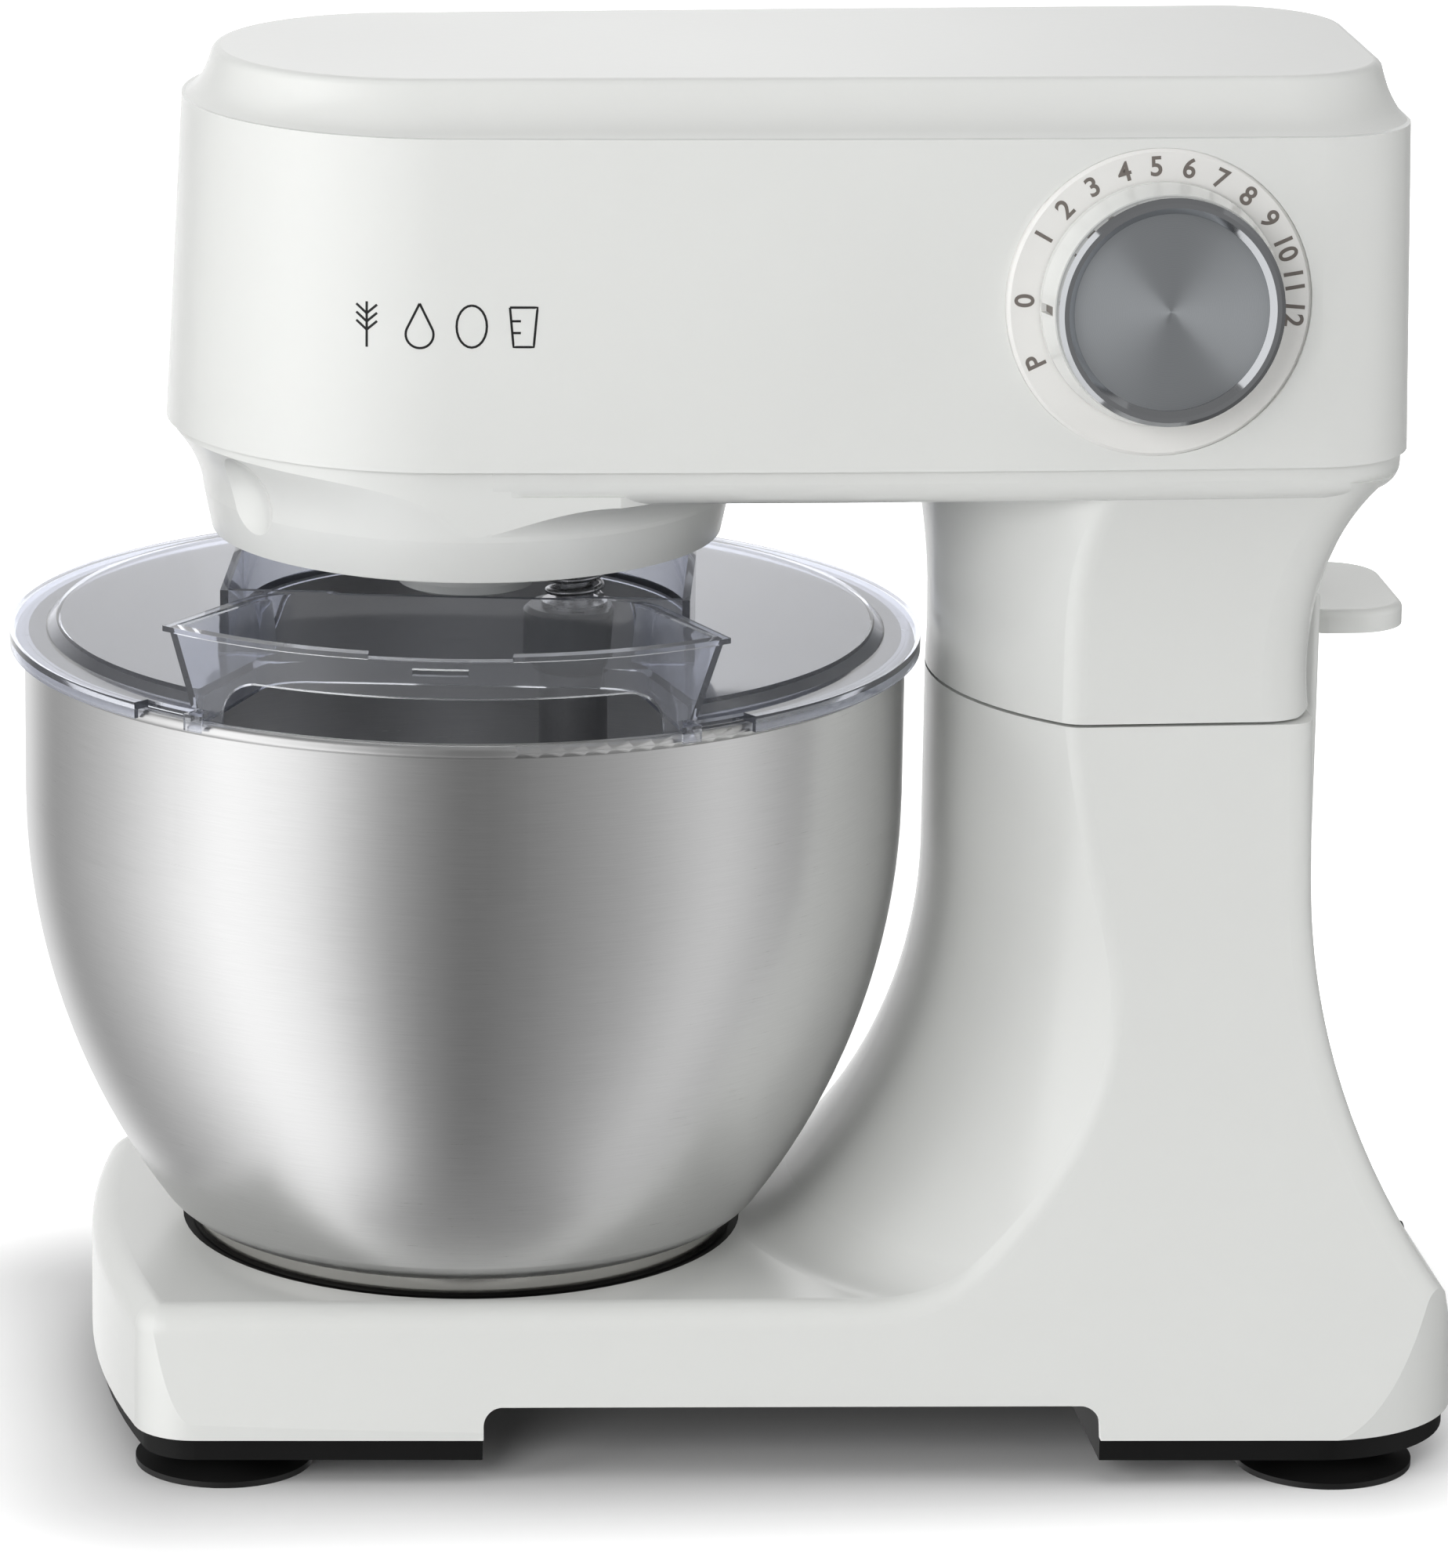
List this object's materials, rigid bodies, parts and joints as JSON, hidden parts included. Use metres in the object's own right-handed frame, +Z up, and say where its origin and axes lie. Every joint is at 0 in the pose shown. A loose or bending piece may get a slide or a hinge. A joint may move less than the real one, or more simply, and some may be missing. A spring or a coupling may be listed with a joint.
{
  "type": "stand mixer",
  "caption": "Tilt-head stand mixer with a steel bowl, clear splash guard with chute, dough hook, speed dial, and a worm and planetary drive behind the covers.",
  "frame": {"origin": "on the table, below the middle of the mixer's outline", "axes": "+Z up; +X from the bowl end to the column end; the speed dial faces -Y"},
  "size_m": [0.376, 0.2364, 0.3613],
  "materials": {
    "white_gloss": "gloss",
    "black_matte": "matte",
    "foot_rubber": "matte",
    "bowl_steel": "brushed",
    "polished_metal": "polished",
    "dial_face": "satin",
    "spun_cap": "spun",
    "clear_guard": "clear",
    "grey_plastic": "matte",
    "hub_metal": "satin",
    "steel": "machined",
    "copper": "lacquered",
    "bronze": "machined",
    "gear_nylon": "matte",
    "board_green": "matte"
  },
  "bodies": {
    "base": {"base_shell": "white_gloss", "bottom_cover": "black_matte", "suction_foot_front_left": "foot_rubber", "suction_foot_front_right": "foot_rubber", "suction_foot_rear_left": "foot_rubber", "suction_foot_rear_right": "foot_rubber", "cover_screws": "steel", "cord_gland": "black_matte", "bowl_seat": "black_matte", "rear_panel": "white_gloss", "hinge_bracket": "steel", "bracket_screws": "steel", "hinge_pins": "steel", "lever_pin": "steel", "lever_spring": "steel"},
    "lever": {"release_lever": "white_gloss"},
    "head": {"lower_housing": "white_gloss", "head_cover": "white_gloss", "hinge_bushes": "bronze", "dial_ring": "dial_face", "speed_switch": "black_matte", "control_board": "board_green", "gear_frame": "hub_metal", "ring_gear": "steel", "drive_bearing_lower": "steel", "drive_bearing_upper": "steel", "worm_bearing": "steel", "motor_stator": "steel", "motor_cradle": "grey_plastic", "field_coils": "copper", "motor_front_bracket": "hub_metal", "motor_rear_bracket": "hub_metal", "motor_bearing_front": "steel", "motor_bearing_rear": "steel", "brush_holders": "black_matte"},
    "knob": {"speed_knob": "white_gloss", "knob_ring": "polished_metal", "knob_cap": "spun_cap", "switch_shaft": "steel"},
    "rotor": {"motor_shaft": "steel", "worm": "steel", "armature": "steel", "armature_windings": "copper", "commutator": "copper", "cooling_fan": "black_matte"},
    "hub": {"planet_hub": "hub_metal", "drive_shaft": "steel", "worm_wheel": "gear_nylon", "tool_bush": "bronze"},
    "tool": {"tool_shaft": "steel", "planet_pinion": "steel", "cross_pin": "steel", "tool_washer": "steel", "tool_spring": "steel", "hook_collar": "grey_plastic", "dough_hook": "hub_metal"},
    "bowl": {"mixing_bowl": "bowl_steel", "bowl_foot": "polished_metal"},
    "guard": {"splash_guard": "clear_guard"}
  },
  "joints": [
    {"name": "head_tilt", "type": "hinge", "parent": "base", "child": "head", "pos_m": [0.137, 0, 0.213], "axis": [0, 1, 0], "range_deg": [0, 40]},
    {"name": "lever_press", "type": "hinge", "parent": "base", "child": "lever", "pos_m": [0.118, 0, 0.212], "axis": [0, 1, 0], "range_deg": [0, 7], "stiffness_Nm_per_rad": 1.5, "springref_deg": -2.86},
    {"name": "dial_turn", "type": "hinge", "parent": "head", "child": "knob", "pos_m": [0.099, -0.0733, 0.3075], "axis": [-0.0349, 0.9984, -0.0454], "range_deg": [-26.5, 183.3]},
    {"name": "motor_spin", "type": "hinge", "parent": "head", "child": "rotor", "pos_m": [0, 0.029, 0.3], "axis": [1, 0, 0], "continuous": true},
    {"name": "hub_spin", "type": "hinge", "parent": "head", "child": "hub", "pos_m": [-0.069, 0, 0.3], "axis": [0, 0, 1], "continuous": true},
    {"name": "tool_spin", "type": "hinge", "parent": "hub", "child": "tool", "pos_m": [-0.0405, 0, 0.24], "axis": [0, 0, 1], "continuous": true},
    {"name": "bowl_twist", "type": "hinge", "parent": "base", "child": "bowl", "pos_m": [-0.069, 0, 0.047], "axis": [0, 0, 1], "range_deg": [0, 45]},
    {"name": "guard_turn", "type": "hinge", "parent": "bowl", "child": "guard", "pos_m": [-0.069, 0, 0.206], "axis": [0, 0, 1], "continuous": true}
  ],
  "couplings": [
    {"joint": "hub_spin", "follows": "motor_spin", "ratio": 0.027778},
    {"joint": "tool_spin", "follows": "motor_spin", "ratio": -0.11574}
  ]
}
